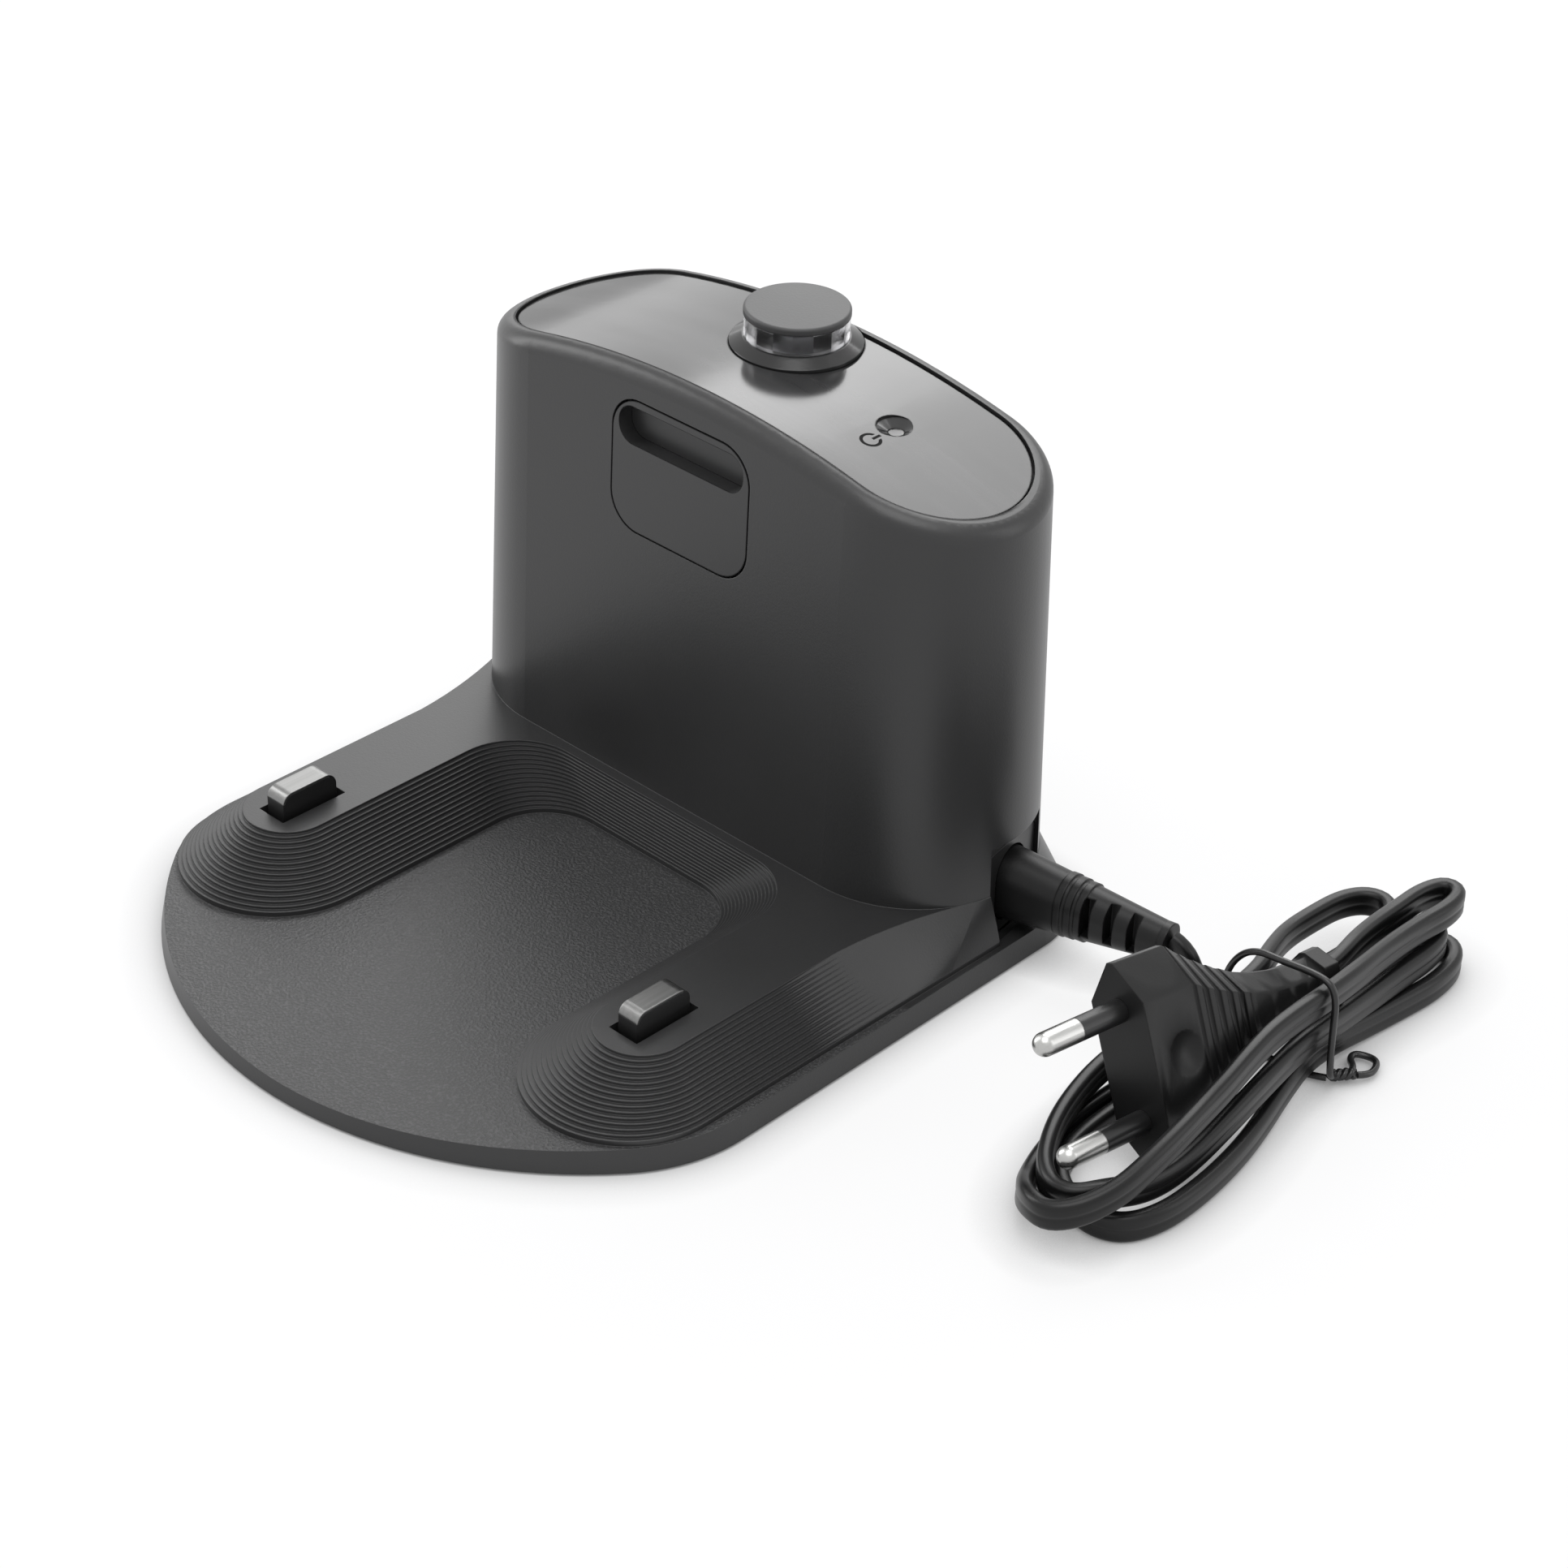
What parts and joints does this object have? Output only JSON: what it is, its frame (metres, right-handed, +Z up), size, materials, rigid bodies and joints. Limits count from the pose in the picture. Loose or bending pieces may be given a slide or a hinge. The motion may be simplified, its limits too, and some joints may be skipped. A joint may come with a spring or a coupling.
{
  "type": "robot vacuum charging dock",
  "caption": "Charging dock for a robot vacuum: a ribbed base with sprung contacts on its arms, an upright power tower with a beacon, and a mains lead tied in a hank.",
  "frame": {"origin": "on the floor under the middle of the base plate", "axes": "+Z up, +X to the side of the mains inlet, the open front that the robot drives onto faces -Y"},
  "size_m": [0.1935, 0.1818, 0.1002],
  "materials": {
    "housing_plastic": "fine satin moulded texture",
    "gloss_panel": "polished",
    "clear_plastic": "clear moulded",
    "emitter_resin": "cast resin",
    "foot_rubber": "soft matt",
    "screw_steel": "zinc plated",
    "board_laminate": "glass laminate with a green mask",
    "transformer_core": "ferrite with taped windings",
    "capacitor_can": "shrink sleeve",
    "inlet_plastic": "smooth moulded",
    "contact_metal": "bright nickel plate",
    "brass": "stamped",
    "cord_vinyl": "smooth soft vinyl",
    "tie_vinyl": "vinyl coated wire"
  },
  "bodies": {
    "dock": {"upper_housing": "housing_plastic", "bottom_cover": "housing_plastic", "rubber_feet": "foot_rubber", "housing_screws": "screw_steel", "top_panel": "gloss_panel", "status_light_pipe": "clear_plastic", "beacon_collar": "gloss_panel", "beacon_lens": "clear_plastic", "beacon_cap": "housing_plastic", "beacon_emitter": "emitter_resin", "emitter_window": "housing_plastic", "light_board": "board_laminate", "window_emitters": "emitter_resin", "status_led": "emitter_resin", "main_board": "board_laminate", "transformer": "transformer_core", "input_capacitor": "capacitor_can", "output_capacitor": "capacitor_can", "inlet_socket": "inlet_plastic", "inlet_pins": "contact_metal", "cord_connector": "cord_vinyl", "mains_plug": "cord_vinyl", "plug_pins": "contact_metal", "plug_sleeves": "inlet_plastic", "cord_lead": "cord_vinyl", "cord_tail": "cord_vinyl", "cord_hank": "cord_vinyl", "cord_tie": "tie_vinyl", "contact_spring_left": "screw_steel", "contact_terminal_left": "brass", "contact_lead_left": "cord_vinyl", "contact_spring_right": "screw_steel", "contact_terminal_right": "brass", "contact_lead_right": "cord_vinyl"},
    "contact_left": {"contact_carrier_left": "inlet_plastic", "contact_strip_left": "contact_metal"},
    "contact_right": {"contact_carrier_right": "inlet_plastic", "contact_strip_right": "contact_metal"}
  },
  "joints": [
    {"name": "contact_press_left", "type": "slide", "parent": "dock", "child": "contact_left", "axis": [0, 0, 1], "range_m": [-0.003, 0], "stiffness_N_per_m": 300, "springref_m": 0.0015, "deforming": ["contact_spring_left"]},
    {"name": "contact_press_right", "type": "slide", "parent": "dock", "child": "contact_right", "axis": [0, 0, 1], "range_m": [-0.003, 0], "stiffness_N_per_m": 300, "springref_m": 0.0015, "deforming": ["contact_spring_right"]}
  ]
}
